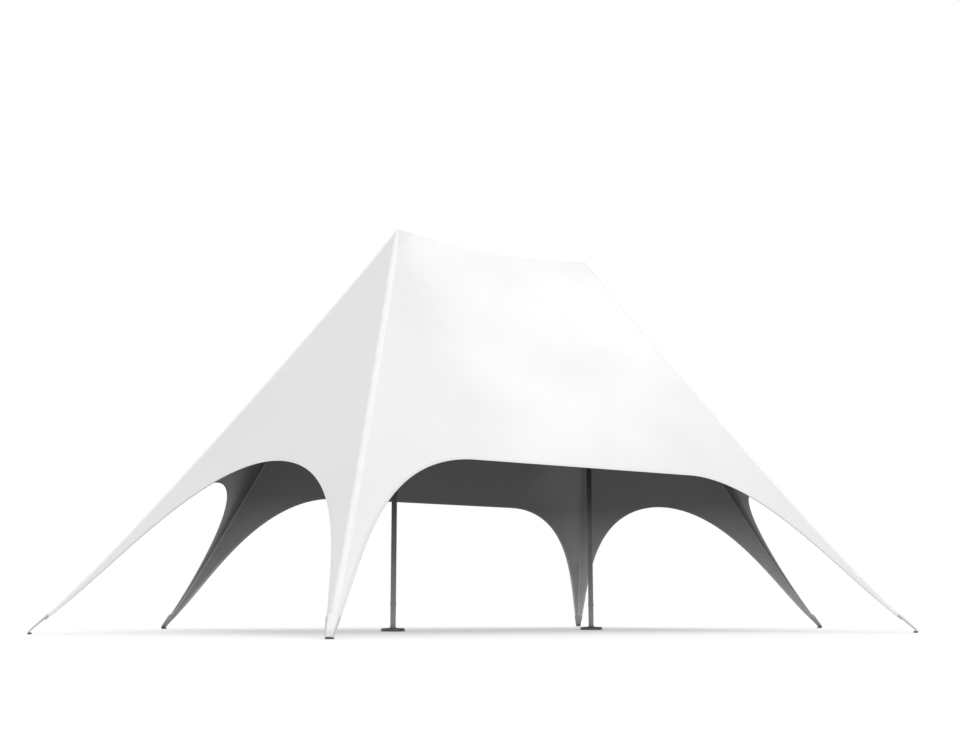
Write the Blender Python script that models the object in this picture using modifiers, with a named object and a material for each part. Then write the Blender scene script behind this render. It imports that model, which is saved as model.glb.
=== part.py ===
"""Twin pole star tent: a white membrane stretched from two peaks to six ground feet.

X runs along the line of the two poles, Y is the depth and Z is up. The ground is z = 0 and the
origin lies on it, midway between the poles. Each pole carries three legs of cloth, 60 degrees
apart. A leg is described in its own plan frame: `out` runs from the pole to the foot and
`across` runs sideways from the leg's ridge line.
"""

from math import atan2, cos, hypot, radians, sin

import bmesh
import bpy
from mathutils import Matrix, Vector

# Driving sizes in metres
PEAK_HEIGHT = 5.70
LEG_REACH = 4.60
POLE_SPACING = 3.20
LEG_STEP = radians(60)
HALF_STEP = LEG_STEP / 2
HALF_SPACING = POLE_SPACING / 2

# A leg's ridge line from the peak down to the foot
RIDGE_END_HEIGHT = 0.047
RIDGE_SAG = 0.108
RIDGE_FLARE = 0.166
RIDGE_FLARE_POWER = 5.1

# How far the cloth falls away between two ridges, for each metre from the pole
VALLEY_FALL = 0.197
VALLEY_POWER = 2.1

# Plan of the arch that is cut between two legs, from the foot to the crown
ARCH_REACH = 2.44
ARCH_CROWN_HANDLE = 1.25
ARCH_LEG_HANDLE = (3.78, 0.160)
ARCH_FOOT = (LEG_REACH - 0.06, 0.043)

# The top ridge sags between the two peaks
TOP_SAG = 0.11

# Cloth, webbing and hem
GAP = 0.0003
CLOTH_DROP = 0.012
BAND_DROP = 0.014
BAND_HALF_WIDTH = 0.035
BAND_CROWN_SHARE = 0.7
BAND_PROUD = 0.003
PEAK_OPENING = 0.13
HEM_RADIUS = 0.008
HEM_GAP = 0.001

# Foot plate and toe
PLATE_START = LEG_REACH - 0.207
TOE_START = LEG_REACH - 0.020
PLATE_SLOPE = 0.966
PLATE_DROP = 0.018
PLATE_CROWN = 0.027
PLATE_HALF_WIDTH = 0.074
TOE_HALF_WIDTH = 0.046
TIP_HALF_WIDTH = 0.034

# Poles
POLE_RADIUS = 0.0375
POLE_WALL = 0.003
POLE_JOINT_HEIGHT = 2.90
SPIGOT_LENGTH = 0.20

# Base disc, with a low hub around the pole
BASE_RADIUS = 0.165
BASE_THICKNESS = 0.044
BASE_TOP_ROUND = 0.012
BASE_BOTTOM_ROUND = 0.005
HUB_RADIUS = 0.072
HUB_FLANGE = 0.003
HUB_HEIGHT = 0.056
HUB_LEDGE = 0.008
HUB_CHAMFER = 0.004

# Collar around the lower pole
COLLAR_HEIGHT = 0.355
COLLAR_LENGTH = 0.030
COLLAR_WALL = 0.004
COLLAR_CHAMFER = 0.002

# Blunt cone on top of the pole, which carries the cap
HEAD_CLEARANCE = 0.020
HEAD_TIP_RADIUS = 0.010
HEAD_RADIUS = 0.100
HEAD_CONE = 0.137
HEAD_RIM = 0.008
HEAD_SKIRT = 0.020
HEAD_TAPER = 0.8

# Mesh fineness
UPPER_ROWS = 6
LOWER_ROWS = 10
PANEL_COLUMNS = 5
MIDDLE_COLUMNS = 8
BAND_ROWS = 14
TOP_BAND_ROWS = 12
BAND_COLUMNS = 4
PLATE_PATCH = (4, 6)
TOE_PATCH = (3, 2)
ROUND_SIDES = 24

LEGS = {
    "left": (-1, radians(180)),
    "back_left": (-1, radians(120)),
    "front_left": (-1, radians(240)),
    "back_right": (1, radians(60)),
    "right": (1, 0.0),
    "front_right": (1, radians(300)),
}

END_PANELS = {
    "front_left_panel": ("left", "front_left"),
    "back_left_panel": ("back_left", "left"),
    "front_right_panel": ("front_right", "right"),
    "back_right_panel": ("right", "back_right"),
}

SIDE_PANELS = {
    "front_panel": ("front_left", "front_right", -1),
    "back_panel": ("back_right", "back_left", 1),
}

FINISHES = {
    "white cloth": ((0.86, 0.86, 0.86), 0.65, 0.0),
    "white webbing": ((0.80, 0.80, 0.80), 0.75, 0.0),
    "grey hem": ((0.55, 0.55, 0.56), 0.80, 0.0),
    "brushed plate": ((0.72, 0.73, 0.74), 0.35, 0.9),
    "black rubber": ((0.05, 0.05, 0.05), 0.70, 0.0),
    "grey pole": ((0.36, 0.36, 0.37), 0.45, 0.6),
    "dark base": ((0.16, 0.16, 0.17), 0.50, 0.3),
    "black fitting": ((0.06, 0.06, 0.06), 0.50, 0.0),
}


def clear_scene():
    for item in list(bpy.data.objects):
        bpy.data.objects.remove(item, do_unlink=True)


def new_collection(name):
    collection = bpy.data.collections.new(name)
    bpy.context.scene.collection.children.link(collection)
    return collection


def finish(name):
    material = bpy.data.materials.get(name)
    if material is None:
        color, roughness, metallic = FINISHES[name]
        material = bpy.data.materials.new(name)
        material.use_nodes = True
        shader = material.node_tree.nodes["Principled BSDF"]
        shader.inputs["Base Color"].default_value = (*color, 1.0)
        shader.inputs["Roughness"].default_value = roughness
        shader.inputs["Metallic"].default_value = metallic
    return material


def add_object(name, data, material_name):
    piece = bpy.data.objects.new(name, data)
    piece.data.materials.append(finish(material_name))
    TENT.objects.link(piece)
    return piece


# Membrane shape

def ridge_height(out):
    """Height of a leg's ridge line at a distance from the pole."""
    share = out / LEG_REACH
    slack = 1 - RIDGE_SAG * share - RIDGE_FLARE * share ** RIDGE_FLARE_POWER
    return RIDGE_END_HEIGHT + (PEAK_HEIGHT - RIDGE_END_HEIGHT) * (1 - share) * slack


def cloth_height(out, across):
    """Height of the cloth beside a leg, which hollows towards the middle of the panel."""
    radius = hypot(out, across)
    turn = abs(atan2(across, out)) / HALF_STEP
    fall = VALLEY_FALL * (1 - abs(1 - turn) ** VALLEY_POWER)
    return ridge_height(radius) - radius * fall


def middle_height(along, depth):
    """Height of the cloth between the two poles."""
    radius = abs(depth)
    sag = TOP_SAG * (1 - (along / HALF_SPACING) ** 2) * max(0.0, 1 - radius / ARCH_REACH) ** 2
    return ridge_height(radius) - radius * VALLEY_FALL - sag


def arch_plan(share):
    """Point of the arch in a leg's plan frame, from the foot at 0 to the crown at 1."""
    crown = Vector((ARCH_REACH * cos(HALF_STEP), ARCH_REACH * sin(HALF_STEP)))
    above = crown + ARCH_CROWN_HANDLE * Vector((sin(HALF_STEP), -cos(HALF_STEP)))
    foot, below = Vector(ARCH_FOOT), Vector(ARCH_LEG_HANDLE)
    rest = 1 - share
    return (rest ** 3 * foot + 3 * rest ** 2 * share * below
            + 3 * rest * share ** 2 * above + share ** 3 * crown)


def arch_share_at(out):
    """Find the arch point that lies at a given distance along the leg."""
    low, high = 0.0, 1.0
    for _ in range(40):
        middle = (low + high) / 2
        if arch_plan(middle).x > out:
            low = middle
        else:
            high = middle
    return (low + high) / 2


ARCH_END_SHARE = arch_share_at(PLATE_START)
CROWN_OUT = ARCH_REACH * cos(HALF_STEP)
UPPER_SHARE = UPPER_ROWS / (UPPER_ROWS + LOWER_ROWS)


def panel_edge(row):
    """Outer plan point of a panel's row: the mid line down to the crown, then the arch."""
    if row <= UPPER_SHARE:
        out = PEAK_OPENING + (CROWN_OUT - PEAK_OPENING) * row / UPPER_SHARE
        return Vector((out, out * sin(HALF_STEP) / cos(HALF_STEP)))
    share = (row - UPPER_SHARE) / (1 - UPPER_SHARE)
    return arch_plan(1 + (ARCH_END_SHARE - 1) * share)


def on_leg(leg, out, across, height):
    """Turn a point of a leg's own frame into a point of the tent."""
    end, direction = LEGS[leg]
    turned = Matrix.Rotation(direction, 3, "Z") @ Vector((out, across, height))
    return turned + Vector((end * HALF_SPACING, 0, 0))


def half_panel_point(leg, side, row, column):
    edge = panel_edge(row)
    across = BAND_HALF_WIDTH + (edge.y - BAND_HALF_WIDTH) * column
    return on_leg(leg, edge.x, side * across, cloth_height(edge.x, across))


def middle_column(share):
    """Place of a column between the poles; the outermost column lies beside the peak."""
    step = 1 / MIDDLE_COLUMNS
    inner = HALF_SPACING - PEAK_OPENING
    if share < step:
        return -HALF_SPACING + PEAK_OPENING * share / step
    if share > 1 - step:
        return HALF_SPACING - PEAK_OPENING * (1 - share) / step
    return inner * (2 * (share - step) / (1 - 2 * step) - 1)


def middle_point(side, row, column):
    along = middle_column(column)
    first = PEAK_OPENING / cos(HALF_STEP)
    near_pole = max(0.0, (abs(along) - HALF_SPACING + PEAK_OPENING) / PEAK_OPENING)
    start = BAND_HALF_WIDTH + (first - BAND_HALF_WIDTH) * near_pole
    depth = start + (ARCH_REACH - start) * row
    return Vector((along, side * depth, middle_height(along, depth)))


# Solid building

def add_patch(mesh, rows, columns, place):
    """Add a grid of faces and carry each of its corners to place(row, column)."""
    grid = bmesh.ops.create_grid(mesh, x_segments=rows, y_segments=columns, size=0.5)
    for corner in grid["verts"]:
        corner.co = place(corner.co.x + 0.5, corner.co.y + 0.5)


def thicken_down(mesh, drop, floor=None):
    """Close an open sheet into a solid by extruding it straight down."""
    bmesh.ops.remove_doubles(mesh, verts=mesh.verts[:], dist=0.00005)
    added = bmesh.ops.extrude_face_region(mesh, geom=mesh.faces[:])
    for item in added["geom"]:
        if isinstance(item, bmesh.types.BMVert):
            item.co.z = item.co.z - drop if floor is None else floor
    bmesh.ops.recalc_face_normals(mesh, faces=mesh.faces[:])


def sheet_object(name, mesh, material_name, drop, floor=None):
    thicken_down(mesh, drop, floor)
    data = bpy.data.meshes.new(name)
    mesh.to_mesh(data)
    mesh.free()
    data.shade_smooth()
    data.set_sharp_from_angle(angle=radians(35))
    return add_object(name, data, material_name)


def turned_object(name, profile, material_name, place, closed=False):
    """Turn a profile of (radius, height) points, given down the outside, about its own axis."""
    data = bpy.data.meshes.new(name)
    points = [(radius, 0.0, height) for radius, height in profile]
    edges = [(index, index + 1) for index in range(len(points) - 1)]
    if closed:
        edges.append((len(points) - 1, 0))
    data.from_pydata(points, edges, [])
    piece = add_object(name, data, material_name)
    piece.location = place
    screw = piece.modifiers.new("Turn", "SCREW")
    screw.axis = "Z"
    screw.steps = ROUND_SIDES
    screw.render_steps = ROUND_SIDES
    screw.use_merge_vertices = True
    screw.merge_threshold = 0.0001
    screw.use_smooth_shade = True
    return piece


def tube_object(name, points, radius, material_name):
    curve = bpy.data.curves.new(name, "CURVE")
    curve.dimensions = "3D"
    curve.bevel_depth = radius
    curve.bevel_resolution = 1
    curve.use_fill_caps = True
    spline = curve.splines.new("POLY")
    spline.points.add(len(points) - 1)
    for target, point in zip(spline.points, points):
        target.co = (*point, 1.0)
    return add_object(name, curve, material_name)


# Canopy

def make_end_panel(name, first_leg, second_leg):
    """A panel between two legs of one pole, as two halves that meet on its mid line."""
    mesh = bmesh.new()
    rows = UPPER_ROWS + LOWER_ROWS
    for leg, side in ((first_leg, 1), (second_leg, -1)):
        add_patch(mesh, rows, PANEL_COLUMNS, lambda row, column: half_panel_point(leg, side, row, column))
    sheet_object(name, mesh, "white cloth", CLOTH_DROP)


def make_side_panel(name, first_leg, second_leg, side):
    """A long panel under the top ridge, with a half fan at each end."""
    mesh = bmesh.new()
    rows = UPPER_ROWS + LOWER_ROWS
    for leg, turn in ((first_leg, 1), (second_leg, -1)):
        add_patch(mesh, rows, PANEL_COLUMNS, lambda row, column: half_panel_point(leg, turn, row, column))
    add_patch(mesh, UPPER_ROWS, MIDDLE_COLUMNS, lambda row, column: middle_point(side, row, column))
    sheet_object(name, mesh, "white cloth", CLOTH_DROP)


def band_point(leg, row, column):
    out = PEAK_OPENING + (PLATE_START - PEAK_OPENING) * row
    half = BAND_HALF_WIDTH - GAP
    across = half * (2 * column - 1)
    edge = cloth_height(out, half)
    rise = (ridge_height(out) - edge) * BAND_CROWN_SHARE + BAND_PROUD
    return on_leg(leg, out, across, edge + rise * (1 - (2 * column - 1) ** 2))


def make_ridge_band(leg):
    mesh = bmesh.new()
    add_patch(mesh, BAND_ROWS, BAND_COLUMNS, lambda row, column: band_point(leg, row, column))
    sheet_object(f"ridge_band_{leg}", mesh, "white webbing", BAND_DROP)


def make_top_band():
    half = BAND_HALF_WIDTH - GAP
    inner = HALF_SPACING - PEAK_OPENING

    def place(row, column):
        along = inner * (2 * row - 1)
        depth = half * (2 * column - 1)
        edge = middle_height(along, half)
        rise = (middle_height(along, 0.0) - edge) * BAND_CROWN_SHARE + BAND_PROUD
        return Vector((along, depth, edge + rise * (1 - (2 * column - 1) ** 2)))

    mesh = bmesh.new()
    add_patch(mesh, TOP_BAND_ROWS, BAND_COLUMNS, place)
    sheet_object("ridge_band_top", mesh, "white webbing", BAND_DROP)


def cap_outline(end):
    """Corners of the cloth pocket on a peak, in order around the pole."""
    corner = PEAK_OPENING * sin(HALF_STEP) / cos(HALF_STEP)
    points = []
    for leg, (leg_end, _) in LEGS.items():
        if leg_end == end:
            for across in (-corner, -BAND_HALF_WIDTH, 0.0, BAND_HALF_WIDTH, corner):
                points.append(on_leg(leg, PEAK_OPENING, across, cloth_height(PEAK_OPENING, across)))
    along = end * (HALF_SPACING - PEAK_OPENING)
    for depth in (-BAND_HALF_WIDTH, 0.0, BAND_HALF_WIDTH):
        points.append(Vector((along, depth, middle_height(along, depth))))
    centre = Vector((end * HALF_SPACING, 0, 0))
    points.sort(key=lambda point: atan2(point.y - centre.y, point.x - centre.x))
    return points


def make_peak_cap(end, word):
    """A cone of cloth over the pole head, on the outline where panels and bands begin."""
    mesh = bmesh.new()
    tip = mesh.verts.new((end * HALF_SPACING, 0, PEAK_HEIGHT))
    shrink = 1 - 1.2 * GAP / PEAK_OPENING
    ring = []
    for point in cap_outline(end):
        plan = Vector((point.x - tip.co.x, point.y, 0)) * shrink
        ring.append(mesh.verts.new((tip.co.x + plan.x, plan.y, point.z)))
    bmesh.ops.remove_doubles(mesh, verts=ring, dist=0.0001)
    ring = [corner for corner in ring if corner.is_valid]
    for first, second in zip(ring, ring[1:] + ring[:1]):
        mesh.faces.new((tip, first, second))
    sheet_object(f"peak_cap_{word}", mesh, "white cloth", BAND_DROP)


# Arch hems

def half_arch_points(leg, side):
    """Panel edge from the crown of the arch down to the foot plate."""
    rows = UPPER_ROWS + LOWER_ROWS
    return [half_panel_point(leg, side, row / rows, 1.0) for row in range(UPPER_ROWS, rows + 1)]


def offset_in_plan(points, distance):
    """Move a line sideways in plan, to the right of its direction, keeping its heights."""
    moved = []
    for index, point in enumerate(points):
        before = points[max(index - 1, 0)]
        after = points[min(index + 1, len(points) - 1)]
        run = Vector((after.x - before.x, after.y - before.y))
        run.normalize()
        moved.append(Vector((point.x + run.y * distance, point.y - run.x * distance,
                             point.z - CLOTH_DROP / 2)))
    return moved


def make_end_hem(name, first_leg, second_leg):
    points = half_arch_points(first_leg, 1)[::-1] + half_arch_points(second_leg, -1)[1:]
    tube_object(name, offset_in_plan(points, HEM_RADIUS + HEM_GAP), HEM_RADIUS, "grey hem")


def make_side_hem(name, first_leg, second_leg, side):
    first = half_arch_points(first_leg, 1)[::-1]
    second = half_arch_points(second_leg, -1)
    columns = [middle_point(side, 1.0, share / MIDDLE_COLUMNS) for share in range(1, MIDDLE_COLUMNS)]
    if side > 0:
        columns.reverse()
    points = first + columns + second
    tube_object(name, offset_in_plan(points, HEM_RADIUS + HEM_GAP), HEM_RADIUS, "grey hem")


# Feet

def plate_half_width(out):
    share = (out - PLATE_START) / (TOE_START - PLATE_START)
    return PLATE_HALF_WIDTH + (TOE_HALF_WIDTH - PLATE_HALF_WIDTH) * share


def plate_point(leg, row, column):
    out = PLATE_START + GAP + (TOE_START - PLATE_START - GAP) * row
    aside = 2 * column - 1
    crown = PLATE_CROWN * (LEG_REACH - out) / (LEG_REACH - PLATE_START)
    height = (LEG_REACH - out) * PLATE_SLOPE + PLATE_DROP + crown * (1 - aside ** 2)
    return on_leg(leg, out, aside * plate_half_width(out), height)


def toe_point(leg, row, column):
    start = TOE_START + GAP
    out = start + (LEG_REACH - start) * row
    half = TOE_HALF_WIDTH + (TIP_HALF_WIDTH - TOE_HALF_WIDTH) * row ** 2
    height = (LEG_REACH - out) * PLATE_SLOPE + PLATE_DROP
    return on_leg(leg, out, half * (2 * column - 1), height)


def make_foot(leg):
    plate = bmesh.new()
    add_patch(plate, *PLATE_PATCH, lambda row, column: plate_point(leg, row, column))
    sheet_object(f"foot_plate_{leg}", plate, "brushed plate", PLATE_DROP)
    toe = bmesh.new()
    add_patch(toe, *TOE_PATCH, lambda row, column: toe_point(leg, row, column))
    sheet_object(f"foot_toe_{leg}", toe, "black rubber", 0.0, floor=0.0)


# Poles

def make_pole(end, word):
    foot = (end * HALF_SPACING, 0, 0)
    bore = POLE_RADIUS - POLE_WALL
    spigot = bore - GAP

    turned_object(f"base_disc_{word}", [
        (0.0, BASE_THICKNESS), (BASE_RADIUS - BASE_TOP_ROUND, BASE_THICKNESS),
        (BASE_RADIUS - BASE_TOP_ROUND * 0.3, BASE_THICKNESS - BASE_TOP_ROUND * 0.3),
        (BASE_RADIUS, BASE_THICKNESS - BASE_TOP_ROUND), (BASE_RADIUS, BASE_BOTTOM_ROUND),
        (BASE_RADIUS - BASE_BOTTOM_ROUND, 0.0), (0.0, 0.0),
    ], "dark base", foot)

    hub_bottom = BASE_THICKNESS + GAP
    spigot_top = HUB_HEIGHT + SPIGOT_LENGTH
    ledge = POLE_RADIUS + HUB_LEDGE
    turned_object(f"base_hub_{word}", [
        (0.0, spigot_top), (spigot, spigot_top), (spigot, HUB_HEIGHT), (ledge, HUB_HEIGHT),
        (ledge + HUB_CHAMFER, HUB_HEIGHT - HUB_CHAMFER), (HUB_RADIUS, hub_bottom + HUB_FLANGE),
        (HUB_RADIUS, hub_bottom), (0.0, hub_bottom),
    ], "dark base", foot)

    pole_bottom = HUB_HEIGHT + GAP
    turned_object(f"lower_pole_{word}", [
        (POLE_RADIUS, POLE_JOINT_HEIGHT), (POLE_RADIUS, pole_bottom),
        (bore, pole_bottom), (bore, POLE_JOINT_HEIGHT),
    ], "grey pole", foot, closed=True)

    upper_bottom = POLE_JOINT_HEIGHT + GAP
    head_flat = PEAK_HEIGHT - BAND_DROP - GAP - HEAD_CLEARANCE
    head_bottom = head_flat - HEAD_CONE - HEAD_RIM - HEAD_SKIRT
    upper_top = head_bottom - GAP
    spigot_wall = spigot - POLE_WALL
    turned_object(f"upper_pole_{word}", [
        (POLE_RADIUS, upper_top), (POLE_RADIUS, upper_bottom), (spigot, upper_bottom),
        (spigot, POLE_JOINT_HEIGHT - SPIGOT_LENGTH), (spigot_wall, POLE_JOINT_HEIGHT - SPIGOT_LENGTH),
        (spigot_wall, upper_top),
    ], "grey pole", foot, closed=True)

    collar_bore = POLE_RADIUS + GAP
    collar_outer = collar_bore + COLLAR_WALL
    collar_top = COLLAR_HEIGHT + COLLAR_LENGTH
    turned_object(f"pole_collar_{word}", [
        (collar_bore, collar_top), (collar_outer - COLLAR_CHAMFER, collar_top),
        (collar_outer, collar_top - COLLAR_CHAMFER), (collar_outer, COLLAR_HEIGHT + COLLAR_CHAMFER),
        (collar_outer - COLLAR_CHAMFER, COLLAR_HEIGHT), (collar_bore, COLLAR_HEIGHT),
    ], "grey pole", foot, closed=True)

    rim_top = head_flat - HEAD_CONE
    turned_object(f"pole_head_{word}", [
        (0.0, head_flat), (HEAD_TIP_RADIUS, head_flat), (HEAD_RADIUS, rim_top),
        (HEAD_RADIUS, rim_top - HEAD_RIM), (HEAD_RADIUS * HEAD_TAPER, head_bottom),
        (0.0, head_bottom),
    ], "black fitting", foot)


def build():
    for name, (first_leg, second_leg) in END_PANELS.items():
        make_end_panel(name, first_leg, second_leg)
        make_end_hem(name.replace("_panel", "_hem"), first_leg, second_leg)
    for name, (first_leg, second_leg, side) in SIDE_PANELS.items():
        make_side_panel(name, first_leg, second_leg, side)
        make_side_hem(name.replace("_panel", "_hem"), first_leg, second_leg, side)
    for leg in LEGS:
        make_ridge_band(leg)
        make_foot(leg)
    make_top_band()
    for end, word in ((-1, "left"), (1, "right")):
        make_peak_cap(end, word)
        make_pole(end, word)


clear_scene()
TENT = new_collection("Star tent")
build()
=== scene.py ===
from math import atan2, cos, hypot, pi, radians, sin, tan

import bmesh
import bpy
from mathutils import Matrix, Vector


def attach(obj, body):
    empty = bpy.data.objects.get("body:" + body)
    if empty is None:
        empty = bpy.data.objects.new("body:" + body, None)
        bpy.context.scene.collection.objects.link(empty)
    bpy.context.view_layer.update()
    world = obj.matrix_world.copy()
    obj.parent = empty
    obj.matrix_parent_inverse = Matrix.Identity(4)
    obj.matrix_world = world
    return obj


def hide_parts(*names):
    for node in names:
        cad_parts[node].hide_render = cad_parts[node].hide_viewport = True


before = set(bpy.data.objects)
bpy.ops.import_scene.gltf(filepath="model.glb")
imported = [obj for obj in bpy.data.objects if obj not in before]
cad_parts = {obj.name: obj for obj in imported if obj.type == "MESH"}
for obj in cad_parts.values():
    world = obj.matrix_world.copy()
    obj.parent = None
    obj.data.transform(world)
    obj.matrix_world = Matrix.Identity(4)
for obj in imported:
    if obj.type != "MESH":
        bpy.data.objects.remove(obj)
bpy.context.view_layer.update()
print("frame loaded")

# the tent's own shape, in metres: a leg runs out from its pole, and across it
tent = {
    "peakHeight": 5.70,
    "legReach": 4.60,
    "halfSpacing": 1.60,
    "halfStep": radians(30),
    "ridgeEndHeight": 0.047,
    "ridgeSag": 0.108,
    "ridgeFlare": 0.166,
    "ridgeFlarePower": 5.1,
    "valleyFall": 0.197,
    "valleyPower": 2.1,
    "archReach": 2.44,
    "crownHandle": 1.25,
    "legHandle": (3.78, 0.160),
    "archFoot": (4.54, 0.043),
    "topSag": 0.11,
    "topSagPower": 1.5,
    "plateStart": 4.393,
}
legs = {
    "left": (-1, radians(180)),
    "back_left": (-1, radians(120)),
    "front_left": (-1, radians(240)),
    "back_right": (1, radians(60)),
    "right": (1, 0.0),
    "front_right": (1, radians(300)),
}
endPanels = {
    "front_left": ("left", "front_left"),
    "back_left": ("back_left", "left"),
    "front_right": ("front_right", "right"),
    "back_right": ("right", "back_right"),
}
sidePanels = {
    "front": ("front_left", "front_right", -1),
    "back": ("back_right", "back_left", 1),
}


# camera and light

view = {
    "place": (-7.2527, -13.600, 0.2303),
    "tilt": 98.05,
    "turn": -27.05,
    "lens": 40.0,
    "sensor": 36.0,
    "shift": (0.0026, 0.09375),
}
light = {
    "skyStrength": 1.0,
    # a dimmer part of the sky: its direction, how far round it reaches and how bright it is
    "dimLeft": ((-0.95, -0.30, 0.1), 0.0, 0.70),
    "dimRight": ((0.95, -0.30, 0.1), 0.57, 0.10),
    "floorReach": 400.0,
    "floorTone": 0.62,
    "floorGlow": 0.42,
}
suns = {
    # strength, softness in degrees, height and direction in plan, whether it only gives gloss
    "key": (0.62, 50.0, 42.0, 290.0, False),
    "sheen": (0.56, 18.0, 57.0, 0.0, True),
}


def makeCamera():
    data = bpy.data.cameras.new("view")
    data.lens = view["lens"]
    data.sensor_width = view["sensor"]
    data.shift_x, data.shift_y = view["shift"]
    data.clip_end = 2000
    camera = bpy.data.objects.new("view", data)
    camera.location = view["place"]
    camera.rotation_euler = (radians(view["tilt"]), 0, radians(view["turn"]))
    bpy.context.scene.collection.objects.link(camera)
    bpy.context.scene.camera = camera


def makeSky():
    world = bpy.data.worlds.new("studio")
    world.use_nodes = True
    nodes, links = world.node_tree.nodes, world.node_tree.links
    background = nodes["Background"]
    place = nodes.new("ShaderNodeTexCoord")
    strength = light["skyStrength"]
    for towards, start, share in (light["dimLeft"], light["dimRight"]):
        side = nodes.new("ShaderNodeVectorMath")
        side.operation = "DOT_PRODUCT"
        side.inputs[1].default_value = Vector(towards).normalized()
        links.new(place.outputs["Generated"], side.inputs[0])
        fade = addRange(nodes, links, side.outputs["Value"], start, 1.0, 1.0, share)
        strength = addMath(nodes, links, "MULTIPLY", fade, strength)
    links.new(strength, background.inputs["Strength"])
    background.inputs["Color"].default_value = (1, 1, 1, 1)
    bpy.context.scene.world = world


def makeSuns():
    for name, (strength, softness, height, turn, glossOnly) in suns.items():
        data = bpy.data.lights.new(name, "SUN")
        data.energy = strength
        data.angle = radians(softness)
        sun = bpy.data.objects.new(name, data)
        high, turn = radians(height), radians(turn)
        towards = Vector((cos(high) * cos(turn), cos(high) * sin(turn), sin(high)))
        sun.rotation_euler = towards.to_track_quat("Z", "Y").to_euler()
        sun.visible_diffuse = not glossOnly
        bpy.context.scene.collection.objects.link(sun)


def makeFloor():
    bpy.ops.mesh.primitive_plane_add(size=light["floorReach"], location=(0, 0, 0))
    floor = bpy.context.object
    floor.name = "floor"
    floor.data.materials.append(floorFinish())


# finishes

def newFinish(name, tone, roughness, metallic=0.0, specular=0.5):
    material = bpy.data.materials.new(name)
    material.use_nodes = True
    shader = material.node_tree.nodes["Principled BSDF"]
    shader.inputs["Base Color"].default_value = (*tone, 1)
    shader.inputs["Roughness"].default_value = roughness
    shader.inputs["Metallic"].default_value = metallic
    shader.inputs["Specular IOR Level"].default_value = specular
    return material, material.node_tree.nodes, material.node_tree.links, shader


def addMath(nodes, links, operation, first, second=None, third=None):
    node = nodes.new("ShaderNodeMath")
    node.operation = operation
    for socket, value in zip(node.inputs, (first, second, third)):
        if value is None:
            continue
        if isinstance(value, (int, float)):
            socket.default_value = value
        else:
            links.new(value, socket)
    return node.outputs[0]


def addNoise(nodes, links, vector, scale, detail=2.0, stretch=(1, 1, 1)):
    turn = nodes.new("ShaderNodeMapping")
    turn.inputs["Scale"].default_value = stretch
    noise = nodes.new("ShaderNodeTexNoise")
    noise.inputs["Scale"].default_value = scale
    noise.inputs["Detail"].default_value = detail
    links.new(vector, turn.inputs["Vector"])
    links.new(turn.outputs["Vector"], noise.inputs["Vector"])
    return noise.outputs["Fac"]


def addTones(nodes, links, factor, first, second):
    mix = nodes.new("ShaderNodeMix")
    mix.data_type = "RGBA"
    mix.inputs["A"].default_value = (*first, 1)
    mix.inputs["B"].default_value = (*second, 1)
    links.new(factor, mix.inputs["Factor"])
    return mix.outputs["Result"]


def addRange(nodes, links, value, fromLow, fromHigh, toLow=0.0, toHigh=1.0):
    node = nodes.new("ShaderNodeMapRange")
    for name, number in zip(("From Min", "From Max", "To Min", "To Max"), (fromLow, fromHigh, toLow, toHigh)):
        node.inputs[name].default_value = number
    links.new(value, node.inputs["Value"])
    return node.outputs["Result"]


def addBump(nodes, links, height, shader, distance, strength=1.0, before=None):
    bump = nodes.new("ShaderNodeBump")
    bump.inputs["Strength"].default_value = strength
    bump.inputs["Distance"].default_value = distance
    links.new(height, bump.inputs["Height"])
    if before is not None:
        links.new(before, bump.inputs["Normal"])
    links.new(bump.outputs["Normal"], shader.inputs["Normal"])
    return bump.outputs["Normal"]


# height of a plain weave of threads at this pitch
def addWeave(nodes, links, vector, pitch):
    split = nodes.new("ShaderNodeSeparateXYZ")
    links.new(vector, split.inputs[0])
    waves = []
    for axis in ("X", "Y"):
        turns = addMath(nodes, links, "MULTIPLY", split.outputs[axis], 2 * pi / pitch)
        waves.append(addMath(nodes, links, "SINE", turns))
    return addMath(nodes, links, "MULTIPLY", *waves)


# 1 on the dashes of each sewn row; rows lie at these values of the second UV coordinate
def addStitches(nodes, links, vector, rowsAt, pitch, width, share=0.62):
    split = nodes.new("ShaderNodeSeparateXYZ")
    links.new(vector, split.inputs[0])
    saw = addMath(nodes, links, "FRACT", addMath(nodes, links, "DIVIDE", split.outputs["X"], pitch))
    dash = addMath(nodes, links, "LESS_THAN", saw, share)
    total = None
    for rowAt in rowsAt:
        offset = addMath(nodes, links, "SUBTRACT", split.outputs["Y"], rowAt)
        aside = addMath(nodes, links, "ABSOLUTE", offset)
        row = addMath(nodes, links, "LESS_THAN", aside, width)
        total = row if total is None else addMath(nodes, links, "MAXIMUM", total, row)
    return addMath(nodes, links, "MULTIPLY", total, dash)


clothLook = {
    "outer": (0.79, 0.79, 0.79),
    "outerWorn": (0.77, 0.77, 0.767),
    "inner": (0.092, 0.092, 0.094),
    "innerPaintedLight": (0.390, 0.390, 0.393),
    "paintedShadeHeight": 2.05,     # the lining is painted lighter below this height, a painted light for what reaches its lower parts, with dust noise in it
    "thread": 0.0016,       # metres between threads
    "weaveDepth": 0.00012,
}


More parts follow.
